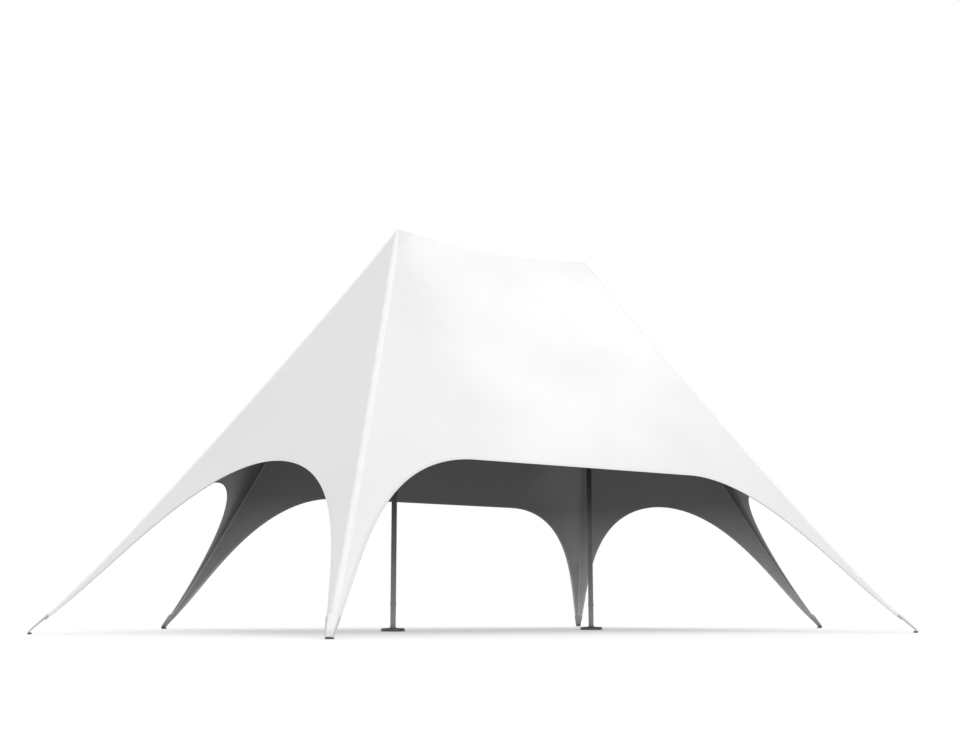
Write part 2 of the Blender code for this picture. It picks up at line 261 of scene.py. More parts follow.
def clothFinish(name, tone, worn, roughness):
    material, nodes, links, shader = newFinish(name, tone, roughness, 0.0, 0.5)
    place = nodes.new("ShaderNodeTexCoord")
    patches = addNoise(nodes, links, place.outputs["Object"], 0.9, 4.0)
    shade = addTones(nodes, links, addRange(nodes, links, patches, 0.4, 0.65), tone, worn)
    links.new(shade, shader.inputs["Base Color"])
    links.new(addRange(nodes, links, patches, 0.3, 0.7, roughness - 0.03, roughness + 0.04),
              shader.inputs["Roughness"])
    weave = addWeave(nodes, links, place.outputs["UV"], clothLook["thread"])
    first = addBump(nodes, links, weave, shader, clothLook["weaveDepth"], 0.5)
    slack = addNoise(nodes, links, place.outputs["Object"], 6.0, 3.0)
    addBump(nodes, links, slack, shader, 0.0012, 0.5, first)
    return material


# scales a tone by the "shade" attribute of the piece's own points
def addShade(nodes, links, tone):
    shade = nodes.new("ShaderNodeAttribute")
    shade.attribute_name = "shade"
    scale = nodes.new("ShaderNodeVectorMath")
    scale.operation = "SCALE"
    links.new(tone, scale.inputs[0])
    links.new(shade.outputs["Fac"], scale.inputs["Scale"])
    return scale.outputs[0]


def liningFinish(name, roughness, share=1.0, shaded=False):
    dark = tuple(value * share for value in clothLook["inner"])
    paintedLightTone = tuple(value * share for value in clothLook["innerPaintedLight"])
    material, nodes, links, shader = newFinish(name, dark, roughness, 0.0, 0.25)
    place = nodes.new("ShaderNodeTexCoord")
    split = nodes.new("ShaderNodeSeparateXYZ")
    links.new(place.outputs["Object"], split.inputs[0])
    dust = addNoise(nodes, links, place.outputs["Object"], 2.5, 4.0)
    # painted light and shade: the lining goes from its dark tone to a far lighter one lower down, standing in
    # for shade high under the canopy and light near the floor; the dust noise makes it patchy
    low = addRange(nodes, links, split.outputs["Z"], clothLook["paintedShadeHeight"], 0.0)
    paintedLightShare = addMath(nodes, links, "MULTIPLY", low, addRange(nodes, links, dust, 0.2, 0.8, 0.85, 1.15))
    tone = addTones(nodes, links, paintedLightShare, dark, paintedLightTone)
    if shaded:
        tone = addShade(nodes, links, tone)
    links.new(tone, shader.inputs["Base Color"])
    weave = addWeave(nodes, links, place.outputs["UV"], clothLook["thread"])
    addBump(nodes, links, weave, shader, clothLook["weaveDepth"], 0.5)
    return material


sewing = {
    "pitch": 0.009,
    "width": 0.0011,
    "sleeveRows": (-0.033, -0.027, 0.027, 0.033),
    "hemRows": (0.008, 0.021),
    "capRows": (0.152, 0.159),
}


def sewnFinish(name, tone, thread, roughness, rowsAt, ribPitch=None):
    material, nodes, links, shader = newFinish(name, tone, roughness, 0.0, 0.35)
    place = nodes.new("ShaderNodeTexCoord")
    patches = addNoise(nodes, links, place.outputs["Object"], 3.0, 3.0)
    worn = tuple(value * 0.965 for value in tone)
    shade = addTones(nodes, links, addRange(nodes, links, patches, 0.4, 0.65), tone, worn)
    weave = addWeave(nodes, links, place.outputs["UV"], ribPitch or clothLook["thread"])
    first = addBump(nodes, links, weave, shader, clothLook["weaveDepth"] * (3 if ribPitch else 1), 0.6)
    if rowsAt:
        stitches = addStitches(nodes, links, place.outputs["UV"], rowsAt, sewing["pitch"], sewing["width"])
        mix = nodes.new("ShaderNodeMix")
        mix.data_type = "RGBA"
        links.new(stitches, mix.inputs["Factor"])
        links.new(shade, mix.inputs["A"])
        mix.inputs["B"].default_value = (*thread, 1)
        shade = mix.outputs["Result"]
        addBump(nodes, links, stitches, shader, 0.0006, 0.8, first)
    links.new(shade, shader.inputs["Base Color"])
    return material


def metalFinish(name, tone, roughness, metallic, grain, grainDepth, stretch, darkening=0.86, heightShade=(),
                shaded=False, ior=1.5):
    material, nodes, links, shader = newFinish(name, tone, roughness, metallic)
    shader.inputs["IOR"].default_value = ior
    place = nodes.new("ShaderNodeTexCoord")
    brushed = addNoise(nodes, links, place.outputs["Object"], grain, 3.0, stretch)
    worn = tuple(value * darkening for value in tone)
    shade = addTones(nodes, links, addRange(nodes, links, brushed, 0.35, 0.7), tone, worn)
    if heightShade:
        shade = addHeightTones(nodes, links, place.outputs["Object"], shade, heightShade)
    if shaded:
        shade = addShade(nodes, links, shade)
    links.new(shade, shader.inputs["Base Color"])
    links.new(addRange(nodes, links, brushed, 0.3, 0.7, roughness - 0.06, roughness + 0.10),
              shader.inputs["Roughness"])
    addBump(nodes, links, brushed, shader, grainDepth, 0.6)
    return material


# tone by height, here painted shade on the pole: each stop is a height in metres and the share of the full
# tone there
def addHeightTones(nodes, links, vector, shade, heightShade):
    split = nodes.new("ShaderNodeSeparateXYZ")
    links.new(vector, split.inputs[0])
    top = heightShade[-1][0]
    ramp = nodes.new("ShaderNodeValToRGB")
    stops = ramp.color_ramp.elements
    while len(stops) < len(heightShade):
        stops.new(0.5)
    for stop, (height, share) in zip(stops, heightShade):
        stop.position = height / top
        stop.color = (share, share, share, 1)
    links.new(addRange(nodes, links, split.outputs["Z"], 0.0, top), ramp.inputs["Fac"])
    mix = nodes.new("ShaderNodeMix")
    mix.data_type = "RGBA"
    mix.blend_type = "MULTIPLY"
    mix.inputs["Factor"].default_value = 1.0
    links.new(shade, mix.inputs["A"])
    links.new(ramp.outputs["Color"], mix.inputs["B"])
    return mix.outputs["Result"]


def rubberFinish(name, tone, roughness):
    material, nodes, links, shader = newFinish(name, tone, roughness, 0.0, 0.3)
    place = nodes.new("ShaderNodeTexCoord")
    grain = addNoise(nodes, links, place.outputs["Object"], 220.0, 2.0)
    dust = addNoise(nodes, links, place.outputs["Object"], 18.0, 4.0)
    dusty = tuple(value * 1.6 + 0.01 for value in tone)
    links.new(addTones(nodes, links, addRange(nodes, links, dust, 0.45, 0.75), tone, dusty),
              shader.inputs["Base Color"])
    addBump(nodes, links, grain, shader, 0.0003, 0.5)
    return material


def floorFinish():
    tone = (light["floorTone"],) * 3
    material, nodes, links, shader = newFinish("pale floor", tone, 0.9, 0.0, 0.0)
    shader.inputs["Emission Color"].default_value = (1, 1, 1, 1)
    shader.inputs["Emission Strength"].default_value = light["floorGlow"]
    return material


def makeFinishes():
    # the sleeves are painted a brighter white than the cloth, which puts a painted highlight along the
    # rounded ridges
    white, thread = (0.93, 0.93, 0.93), (0.80, 0.80, 0.80)
    outer, even = clothLook["outer"], (1, 1, 1)
    return {
        "cloth": clothFinish("white cloth", outer, clothLook["outerWorn"], 0.38),
        "panelLining": liningFinish("grey lining", 0.75, 1.0, True),
        "lining": liningFinish("grey lining plain", 0.75),
        "cap": sewnFinish("peak cap cloth", outer, thread, 0.40, sewing["capRows"]),
        "sleeve": sewnFinish("ridge sleeve", white, thread, 0.40, sewing["sleeveRows"]),
        "webbing": liningFinish("ridge webbing", 0.7, 0.9),
        "welt": liningFinish("ridge welt", 0.7, 1.3),
        "hem": sewnFinish("arch hem", outer, (0.70, 0.70, 0.70), 0.45, sewing["hemRows"]),
        "hemInside": liningFinish("arch hem inside", 0.65, 1.25),
        "plate": metalFinish("pale plate", (0.91, 0.915, 0.92), 0.40, 0.10, 60.0, 0.00005, even, 0.96,
                             shaded=True),
        "plateUnder": metalFinish("grey plate underside", (0.27, 0.27, 0.275), 0.5, 0.2, 60.0, 0.0001, even),
        "rivet": metalFinish("pale rivet", (0.86, 0.865, 0.87), 0.40, 0.2, 90.0, 0.00005, even, 0.96),
        "toe": rubberFinish("black rubber", (0.06, 0.06, 0.061), 0.7),
        "pole": metalFinish("grey pole", (0.44, 0.44, 0.445), 0.5, 0.1, 30.0, 0.00006, (6, 6, 0.15), 0.9,
                            pole["heightShade"]),
        "base": metalFinish("dark base", (0.065, 0.065, 0.066), 0.22, 0.0, 160.0, 0.00012, even, ior=1.75),
        "hub": metalFinish("grey hub", (0.34, 0.34, 0.345), 0.4, 0.1, 160.0, 0.00012, even),
        "fitting": rubberFinish("black fitting", (0.04, 0.04, 0.042), 0.5),
    }


# the tent's height field

def ridgeHeight(out):
    share = out / tent["legReach"]
    slack = 1 - tent["ridgeSag"] * share - tent["ridgeFlare"] * share ** tent["ridgeFlarePower"]
    return tent["ridgeEndHeight"] + (tent["peakHeight"] - tent["ridgeEndHeight"]) * (1 - share) * slack


def clothHeight(out, across):
    radius = hypot(out, across)
    turn = abs(atan2(across, out)) / tent["halfStep"]
    fall = tent["valleyFall"] * (1 - abs(1 - turn) ** tent["valleyPower"])
    return ridgeHeight(radius) - radius * fall


def middleHeight(along, depth):
    radius = abs(depth)
    bow = max(0.0, 1 - (along / tent["halfSpacing"]) ** 2) ** tent["topSagPower"]
    sag = tent["topSag"] * bow * max(0.0, 1 - radius / tent["archReach"]) ** 2
    return ridgeHeight(radius) - radius * tent["valleyFall"] - sag


def archPlan(share):
    half = tent["halfStep"]
    crown = tent["archReach"] * Vector((cos(half), sin(half)))
    above = crown + tent["crownHandle"] * Vector((sin(half), -cos(half)))
    foot, below = Vector(tent["archFoot"]), Vector(tent["legHandle"])
    rest = 1 - share
    return (rest ** 3 * foot + 3 * rest ** 2 * share * below
            + 3 * rest * share ** 2 * above + share ** 3 * crown)


def archShareAt(out):
    low, high = 0.0, 1.0
    for _ in range(40):
        middle = (low + high) / 2
        if archPlan(middle).x > out:
            low = middle
        else:
            high = middle
    return (low + high) / 2


def onLeg(leg, out, across, height):
    end, direction = legs[leg]
    turned = Matrix.Rotation(direction, 3, "Z") @ Vector((out, across, height))
    return turned + Vector((end * tent["halfSpacing"], 0, 0))


# height of the outer cloth over any place in plan
def tentHeight(x, y):
    half = tent["halfSpacing"]
    if abs(x) <= half:
        return middleHeight(x, y)
    out, turn = hypot(abs(x) - half, y), atan2(y, abs(x) - half)
    step = 2 * tent["halfStep"]
    nearest = round(turn / step) * step
    return clothHeight(out * cos(turn - nearest), out * sin(turn - nearest))


def tentNormal(x, y, reach=0.004):
    slopeX = (tentHeight(x + reach, y) - tentHeight(x - reach, y)) / (2 * reach)
    slopeY = (tentHeight(x, y + reach) - tentHeight(x, y - reach)) / (2 * reach)
    return Vector((-slopeX, -slopeY, 1)).normalized()


# canopy cloth

cloth = {
    "thickness": 0.0018,
    "ridgeStart": 0.014,    # the cloth begins this far beside the ridge line, under the sleeve
    "peakStart": 0.045,
    "plateTuck": 0.030,     # it ends this far under the foot plate
    "upperRows": 46,
    "lowerRows": 64,
    "columns": 24,
    "middleColumns": 56,
    "footFoldDepth": 0.0015,
    "footFolds": 5,
    "footFoldStart": 3.1,
    "peakFoldDepth": 0.0008,
    "peakFolds": 4,
    "peakFoldReach": 1.5,
}
# painted light and shade on the lining, as a share of its tone
liningPaintedShade = {
    "panels": ("back_left", "front_right"),     # painted shade beside their ridges and painted light at their free edges
    "ridge": 0.42,
    "edge": 1.50,
    "lowRidge": 0.50,
    "lowEdge": 0.78,
    "start": 0.35,          # share of the way across where they start to clear
    "lowering": (2.5, 4.0), # metres out along the leg where the upper values give way to the low ones
    # painted light above 1 and painted shade below 1 on the front and back panels beside each ridge, and
    # painted shade on their legs
    "sideRidge": {"front_left": 1.40, "back_right": 1.40, "front_right": 0.90, "back_left": 0.90},
    "sideLow": 0.74,
}
crownOut = tent["archReach"] * cos(tent["halfStep"])
archEnd = archShareAt(tent["plateStart"] + cloth["plateTuck"])
archAtPlate = archShareAt(tent["plateStart"])


def panelEdge(row):
    upper = cloth["upperRows"] / (cloth["upperRows"] + cloth["lowerRows"])
    if row <= upper:
        out = cloth["peakStart"] + (crownOut - cloth["peakStart"]) * row / upper
        return Vector((out, out * tan(tent["halfStep"])))
    share = (row - upper) / (1 - upper)
    return archPlan(1 + (archEnd - 1) * share)


# shallow pull folds where the cloth gathers at a foot and at the peak
def foldHeight(out, share):
    foot = max(0.0, (out - cloth["footFoldStart"]) / (tent["plateStart"] - cloth["footFoldStart"]))
    peak = max(0.0, 1 - out / cloth["peakFoldReach"])
    edges = sin(pi * share)
    low = foot ** 1.5 * sin(2 * pi * cloth["footFolds"] * share ** 0.8) * edges
    high = peak ** 2 * min(1.0, out / 0.35) * sin(2 * pi * cloth["peakFolds"] * share) * edges
    return cloth["footFoldDepth"] * low + cloth["peakFoldDepth"] * high


def easeBetween(value, start, end):
    share = min(1.0, max(0.0, (value - start) / (end - start)))
    return share * share * (3 - 2 * share)


# painted light and shade for a point of a lining panel, as a share of its tone
def liningShade(name, leg, row, column):
    if name in sidePanels:
        beside, low = liningPaintedShade["sideRidge"][leg], liningPaintedShade["sideLow"]
        high = beside + (1 - beside) * easeBetween(column, 0.2, 1.0)
    elif name in liningPaintedShade["panels"]:
        high = liningPaintedShade["ridge"] + (liningPaintedShade["edge"] - liningPaintedShade["ridge"]) * easeBetween(column, liningPaintedShade["start"], 1.0)
        low = liningPaintedShade["lowRidge"] + (liningPaintedShade["lowEdge"] - liningPaintedShade["lowRidge"]) * column
    else:
        return 1.0
    return high + (low - high) * easeBetween(panelEdge(row).x, *liningPaintedShade["lowering"])


def fanPoint(leg, side, row, column):
    edge = panelEdge(row)
    across = cloth["ridgeStart"] + (edge.y - cloth["ridgeStart"]) * column
    height = clothHeight(edge.x, across) + foldHeight(edge.x, column)
    return onLeg(leg, edge.x, side * across, height)


def middlePoint(side, row, column):
    half = tent["halfSpacing"]
    along = half * (2 * column - 1)
    start = cloth["ridgeStart"] + (cloth["peakStart"] - cloth["ridgeStart"]) * abs(2 * column - 1) ** 12
    depth = start + (tent["archReach"] - start) * row
    return Vector((along, side * depth, middleHeight(along, depth)))


def addGridFace(mesh, corners, r, c):
    face = mesh.faces.new((corners[r][c], corners[r + 1][c],
                           corners[r + 1][c + 1], corners[r][c + 1]))
    face.normal_update()
    if face.normal.z < 0:
        face.normal_flip()
    return face


def addSheetPatch(mesh, rows, columns, place, shadeAt=None):
    shade = mesh.verts.layers.float.get("shade") or mesh.verts.layers.float.new("shade")
    corners = [[mesh.verts.new(place(r / rows, c / columns)) for c in range(columns + 1)]
               for r in range(rows + 1)]
    for r in range(rows + 1):
        for c in range(columns + 1):
            corners[r][c][shade] = shadeAt(r / rows, c / columns) if shadeAt else 1.0
    for r in range(rows):
        for c in range(columns):
            addGridFace(mesh, corners, r, c)


# uV in metres in the panel's own plane, so that threads run straight down the panel
def layCloth(mesh, facing):
    grain = mesh.loops.layers.uv.new("UVMap")
    level = Vector((-sin(facing), cos(facing), 0))
    slope = Vector((cos(facing) * 0.60, sin(facing) * 0.60, -0.80))
    for face in mesh.faces:
        for loop in face.loops:
            loop[grain].uv = (loop.vert.co.dot(level), loop.vert.co.dot(slope))


def newPiece(name, mesh, materials):
    data = bpy.data.meshes.new(name)
    mesh.to_mesh(data)
    mesh.free()
    piece = bpy.data.objects.new(name, data)
    for material in materials:
        data.materials.append(material)
    bpy.context.scene.collection.objects.link(piece)
    return piece


def useOnly(piece):
    if bpy.context.object and bpy.context.object.mode != "OBJECT":
        bpy.ops.object.mode_set(mode="OBJECT")
    bpy.ops.object.select_all(action="DESELECT")
    piece.select_set(True)
    bpy.context.view_layer.objects.active = piece


def applyAll(piece):
    useOnly(piece)
    for modifier in list(piece.modifiers):
        bpy.ops.object.modifier_apply(modifier=modifier.name)


def smooth(piece, angle=40.0):
    useOnly(piece)
    bpy.ops.object.shade_smooth_by_angle(angle=radians(angle))


def thicken(piece, thickness, inner=0, offset=-1.0):
    wall = piece.modifiers.new("wall", "SOLIDIFY")
    wall.thickness = thickness
    wall.offset = offset
    wall.use_even_offset = True
    wall.material_offset = inner
    applyAll(piece)


def finishPiece(piece, slot, *nodes):
    piece.location = (0, 0, 0)
    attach(piece, "root")
    if nodes:
        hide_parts(*nodes)


def makePanel(name, firstLeg, secondLeg, side=0):
    rows = cloth["upperRows"] + cloth["lowerRows"]
    mesh = bmesh.new()
    for leg, turn in ((firstLeg, 1), (secondLeg, -1)):
        addSheetPatch(mesh, rows, cloth["columns"], lambda r, c: fanPoint(leg, turn, r, c),
                      lambda r, c: liningShade(name, leg, r, c))
    if side:
        addSheetPatch(mesh, cloth["upperRows"], cloth["middleColumns"], lambda r, c: middlePoint(side, r, c))
        facing = side * radians(90)
    else:
        first, second = legs[firstLeg][1], legs[secondLeg][1]
        facing = atan2(sin(first) + sin(second), cos(first) + cos(second))
    bmesh.ops.remove_doubles(mesh, verts=mesh.verts[:], dist=0.0004)
    layCloth(mesh, facing)
    piece = newPiece(f"cloth_{name}", mesh, [finishes["cloth"], finishes["panelLining"]])
    thicken(piece, cloth["thickness"], 1)
    smooth(piece, 50)
    finishPiece(piece, "canopy_cloth", f"{name}_panel")
    return piece


# ridge sleeves and the webbing inside

sleeve = {
    "halfWidth": 0.040,
    "tipHalf": 0.010,       # half its width at the tip, and how fast it widens from there
    "widening": 0.12,
    "crownShare": 0.70,
    "crownPower": 2.4,
    "proud": 0.003,
    "lift": 0.0012,
    "capLift": 0.0022,      # it rises this much more to lie over the cap, between these distances
    "capReach": (0.165, 0.45),
    "thickness": 0.0016,
    "rows": 110,
    "topRows": 80,
    "columns": 14,
    "peakStart": 0.006,
    "topStart": 0.010,
}
webbing = {
    "halfWidth": 0.018,
    "weltShare": 0.34,      # the seam's welt stands out along its middle
    "weltDepth": 0.004,
    "below": 0.003,
    "thickness": 0.0024,
    "peakStart": 0.14,
    "plateGap": 0.02,
    "rows": 90,
    "topRows": 60,
    "columns": 6,
}


def sleeveHalf(out):
    return min(sleeve["halfWidth"], sleeve["tipHalf"] + sleeve["widening"] * out)


# aside runs from -1 to 1 across the sleeve
def sleeveHeight(out, ridge, edge, aside):
    overCap = 1 - easeBetween(out, *sleeve["capReach"])
    crown = sleeve["crownShare"] + (1 - sleeve["crownShare"]) * overCap
    rise = (ridge - edge) * crown + sleeve["proud"]
    bulge = rise * (1 - abs(aside) ** sleeve["crownPower"])
    return edge + sleeve["lift"] + sleeve["capLift"] * overCap + bulge


def legSleevePoint(leg, row, column):
    end, aside = tent["plateStart"] + cloth["plateTuck"], 2 * column - 1
    out = sleeve["peakStart"] + (end - sleeve["peakStart"]) * row ** 1.4
    half = sleeveHalf(out)
    height = sleeveHeight(out, ridgeHeight(out), clothHeight(out, half), aside)
    return onLeg(leg, out, half * aside, height)


def topSleevePoint(row, column):
    along, aside = -(tent["halfSpacing"] - sleeve["topStart"]) * cos(pi * row), 2 * column - 1
    out = tent["halfSpacing"] - abs(along)
    half = sleeveHalf(out)
    height = sleeveHeight(out, middleHeight(along, 0), middleHeight(along, half), aside)
    return Vector((along, half * aside, height))


# uV in metres along and across a strip, centred on its middle line
def layStrip(mesh, rows, columns, corners, width):
    grain = mesh.loops.layers.uv.new("UVMap")
    lengths = [0.0]
    for r in range(rows):
        lengths.append(lengths[-1] + (corners[r + 1][0].co - corners[r][0].co).length)
    place = {}
    for r in range(rows + 1):
        for c in range(columns + 1):
            place[corners[r][c]] = (lengths[r], width * (c / columns - 0.5))
    for face in mesh.faces:
        for loop in face.loops:
            loop[grain].uv = place[loop.vert]


def makeStrip(name, rows, columns, point, width, thickness, materials, middleShare=0.0):
    mesh = bmesh.new()
    corners = [[mesh.verts.new(point(r / rows, c / columns)) for c in range(columns + 1)]
               for r in range(rows + 1)]
    for r in range(rows):
        for c in range(columns):
            face = addGridFace(mesh, corners, r, c)
            face.material_index = 1 if abs((2 * c + 1) / columns - 1) < middleShare else 0
    layStrip(mesh, rows, columns, corners, width)
    piece = newPiece(name, mesh, materials)
    thicken(piece, thickness)
    smooth(piece, 50)
    return piece


def makeSleeves():
    looks, width, thickness = [finishes["sleeve"]], 2 * sleeve["halfWidth"], sleeve["thickness"]
    made = {}
    for leg in legs:
        made[leg] = makeStrip(f"sleeve_{leg}", sleeve["rows"], sleeve["columns"],
                              lambda r, c: legSleevePoint(leg, r, c), width, thickness, looks)
    made["top"] = makeStrip("sleeve_top", sleeve["topRows"], sleeve["columns"], topSleevePoint,
                            width, thickness, looks)
    for word, piece in made.items():
        finishPiece(piece, "ridge_webbing", f"ridge_band_{word}")
    return made


# height of the webbing under the cloth, with the seam's welt hanging from its middle
def webbingHeight(clothAt, column):
    aside = abs(2 * column - 1)
    welt = webbing["weltDepth"] if aside < webbing["weltShare"] else 0.0
    return clothAt - webbing["below"] - welt


def makeWebbings():
    half, width, thickness = webbing["halfWidth"], 2 * webbing["halfWidth"], webbing["thickness"]
    reach = tent["plateStart"] - webbing["plateGap"] - webbing["peakStart"]
    looks = [finishes["webbing"], finishes["welt"]]
    made = {}

    def legPlace(leg, row, column):
        out = webbing["peakStart"] + reach * row
        return onLeg(leg, out, half * (2 * column - 1), webbingHeight(clothHeight(out, half), column))

    def topPlace(row, column):
        along = (tent["halfSpacing"] - webbing["peakStart"]) * (2 * row - 1)
        return Vector((along, half * (2 * column - 1), webbingHeight(middleHeight(along, half), column)))

    for leg in legs:
        made[leg] = makeStrip(f"webbing_{leg}", webbing["rows"], webbing["columns"],
                              lambda r, c: legPlace(leg, r, c), width, thickness, looks, webbing["weltShare"])
    made["top"] = makeStrip("webbing_top", webbing["topRows"], webbing["columns"], topPlace,
                            width, thickness, looks, webbing["weltShare"])
    for piece in made.values():
        finishPiece(piece, "ridge_webbing")
    return made


# arch hems

hem = {
    "flap": 0.028,
    "proud": 0.0010,
    "cordRadius": 0.0052,
    "cordOut": 0.0020,
    "cordDrop": 0.0022,
    "footShrink": 0.45,
    "shrinkFrom": 0.35,     # metres above the plate
    "rowsPerSide": 72,
    "archSides": 12,
    "middleColumns": 36,
}


def archPoints(leg, side):
    points = []
    for row in range(hem["rowsPerSide"] + 1):
        spot = archPlan(1 + (archAtPlate - 1) * row / hem["rowsPerSide"])
        points.append((onLeg(leg, spot.x, side * spot.y, clothHeight(spot.x, spot.y)), spot.x))
    return points


# cross section (aside, above) of the hem round the cloth's edge, from its outer flap to its inner one
def hemProfile(size):
    flap, proud, wall = hem["flap"] * size, hem["proud"], cloth["thickness"]
    radius, centre = hem["cordRadius"] * size, (hem["cordOut"] * size, -hem["cordDrop"] * size)
    points = [(-flap, 0.0002), (-flap + 0.001, proud), (-flap * 0.5, proud + 0.0002)]
    for step in range(hem["archSides"] + 1):
        angle = radians(120) - radians(240) * step / hem["archSides"]
        points.append((centre[0] + radius * cos(angle), centre[1] + radius * sin(angle)))
    points += [(-flap * 0.5, -wall - proud - 0.0002), (-flap + 0.001, -wall - proud), (-flap, -wall - 0.0002)]
    return points


def makeHem(name, path):
    mesh = bmesh.new()
    grain = mesh.loops.layers.uv.new("UVMap")
    rings, lengths, rounds = [], [0.0], []
    for index, (point, out) in enumerate(path):
        before, after = path[max(index - 1, 0)][0], path[min(index + 1, len(path) - 1)][0]
        run = (after - before).normalized()
        inward = Vector((-(after - before).y, (after - before).x, 0)).normalized() * 0.03
        up = tentNormal(point.x + inward.x, point.y + inward.y)
        up = (up - up.dot(run) * run).normalized()
        aside = run.cross(up)
        full = min(1.0, max(0.0, (tent["plateStart"] - out) / hem["shrinkFrom"]))
        size = hem["footShrink"] + (1 - hem["footShrink"]) * full
        rings.append([mesh.verts.new(point + aside * b + up * n) for b, n in hemProfile(size)])
        if index:
            lengths.append(lengths[-1] + (point - path[index - 1][0]).length)
    section = hemProfile(1.0)
    around = [0.0]
    for first, second in zip(section, section[1:]):
        around.append(around[-1] + hypot(second[0] - first[0], second[1] - first[1]))
    count = len(section)
    whiteSides = 3 + hem["archSides"] // 3      # the upper flap and the upper third of the cord
    for r in range(len(rings) - 1):
        for c in range(count):
            d = (c + 1) % count
            face = mesh.faces.new((rings[r][c], rings[r][d], rings[r + 1][d], rings[r + 1][c]))
            last = around[c] + 0.002 if d == 0 else around[d]
            spots = ((lengths[r], around[c]), (lengths[r], last),
                     (lengths[r + 1], last), (lengths[r + 1], around[c]))
            for loop, spot in zip(face.loops, spots):
                loop[grain].uv = spot
            face.material_index = 0 if c < whiteSides else 1
    mesh.faces.new(rings[0])
    mesh.faces.new(rings[-1][::-1])
    bmesh.ops.recalc_face_normals(mesh, faces=mesh.faces[:])
    piece = newPiece(f"hem_{name}", mesh, [finishes["hem"], finishes["hemInside"]])
    smooth(piece, 35)
    finishPiece(piece, "arch_hem", f"{name}_hem")
    return piece


def makeHems():
    made = {}
    for name, (firstLeg, secondLeg) in endPanels.items():
        made[name] = makeHem(name, archPoints(firstLeg, 1)[::-1] + archPoints(secondLeg, -1)[1:])
    for name, (firstLeg, secondLeg, side) in sidePanels.items():
        first, second = archPoints(firstLeg, 1)[::-1], archPoints(secondLeg, -1)
        start, stop, reach = first[-1][0].x, second[0][0].x, tent["archReach"]
        between = []
        for step in range(1, hem["middleColumns"]):
            along = start + (stop - start) * step / hem["middleColumns"]
            between.append((Vector((along, side * reach, middleHeight(along, reach))), crownOut))
        made[name] = makeHem(name, first + between + second)
    return made


# feet

plate = {
    "start": 4.3933,
    "end": 4.594,
    "startHalf": 0.076,
    "endHalf": 0.044,
    "cornerRadius": 0.022,
    "startHeight": 0.2177,
    "knee": 4.556,          # where the plate bends down towards the ground
    "kneeHeight": 0.072,
    "endHeight": 0.028,
    "drop": 0.016,
    "crown": 0.027,
    "shoulder": 4,
    "rowsAt": (0, 0.002, 0.006, 0.011, 0.017, 0.022, 0.046, 0.078, 0.110, 0.139, 0.1627, 0.182, 0.2007),
    "columns": 16,
    "rim": 0.0022,
    # share of the full tone: painted shade on the flanks and on the lower facet, and how far across the
    # flanks begin
    "flankShade": 0.52,
    "flankFrom": 0.50,
    "facetShade": 0.84,
}
toe = {
    "start": 4.558,
    "startHalf": 0.043,
    "tipHalf": 0.039,
    "height": 0.021,
    "chamfer": 0.016,
    "rim": 0.003,
}
rivets = {
    "radius": 0.005,
    "flatness": 0.5,
    "tilt": radians(41),
    # metres out from the plate's start, and across
    "spots": ((0.030, -0.045), (0.030, 0.045), (0.085, 0.0), (0.147, -0.028), (0.147, 0.028)),
}


def pick(piece, kind, test):
    bpy.ops.mesh.select_mode(type=kind)
    bpy.ops.mesh.select_all(action="DESELECT")
    mesh = bmesh.from_edit_mesh(piece.data)
    for part in {"VERT": mesh.verts, "EDGE": mesh.edges, "FACE": mesh.faces}[kind]:
        if test(part):
            part.select_set(True)
    mesh.select_flush_mode()
    bmesh.update_edit_mesh(piece.data)


def near(first, second, gap=0.0004):
    return abs(first - second) < gap


# leave the piece's place, turn and size in its mesh
def settle(piece):
    useOnly(piece)
    bpy.ops.object.transform_apply(location=True, rotation=True, scale=True)


def addRim(piece, width, segments=3, angle=40.0):
    rim = piece.modifiers.new("rim", "BEVEL")
    rim.width = width
    rim.segments = segments
    rim.limit_method = "ANGLE"
    rim.angle_limit = radians(angle)
    rim.harden_normals = False
    applyAll(piece)


# a copy with its own mesh, moved from the first leg's frame onto this leg
def copyOnLeg(piece, leg, name):
    twin = piece.copy()
    twin.data = piece.data.copy()
    twin.name = name
    bpy.context.scene.collection.objects.link(twin)
    end, direction = legs[leg]
    twin.rotation_euler = (0, 0, direction)
    twin.location = (end * tent["halfSpacing"], 0, 0)
    settle(twin)
    return twin


def plateHalf(out):
    share = (out - plate["start"]) / (plate["end"] - plate["start"])
    half = plate["startHalf"] + (plate["endHalf"] - plate["startHalf"]) * share
    short = max(0.0, plate["cornerRadius"] - (out - plate["start"]))
    return half - plate["cornerRadius"] + (plate["cornerRadius"] ** 2 - short ** 2) ** 0.5


def plateRise(out, aside):
    if out < plate["knee"]:
        share = (out - plate["start"]) / (plate["knee"] - plate["start"])
        height = plate["startHeight"] + (plate["kneeHeight"] - plate["startHeight"]) * share
    else:
        share = (out - plate["knee"]) / (plate["end"] - plate["knee"])
        height = plate["kneeHeight"] + (plate["endHeight"] - plate["kneeHeight"]) * share
    crown = plate["crown"] * (1 - 0.8 * (out - plate["start"]) / (plate["end"] - plate["start"]))
    return height + crown * (1 - abs(aside) ** plate["shoulder"])


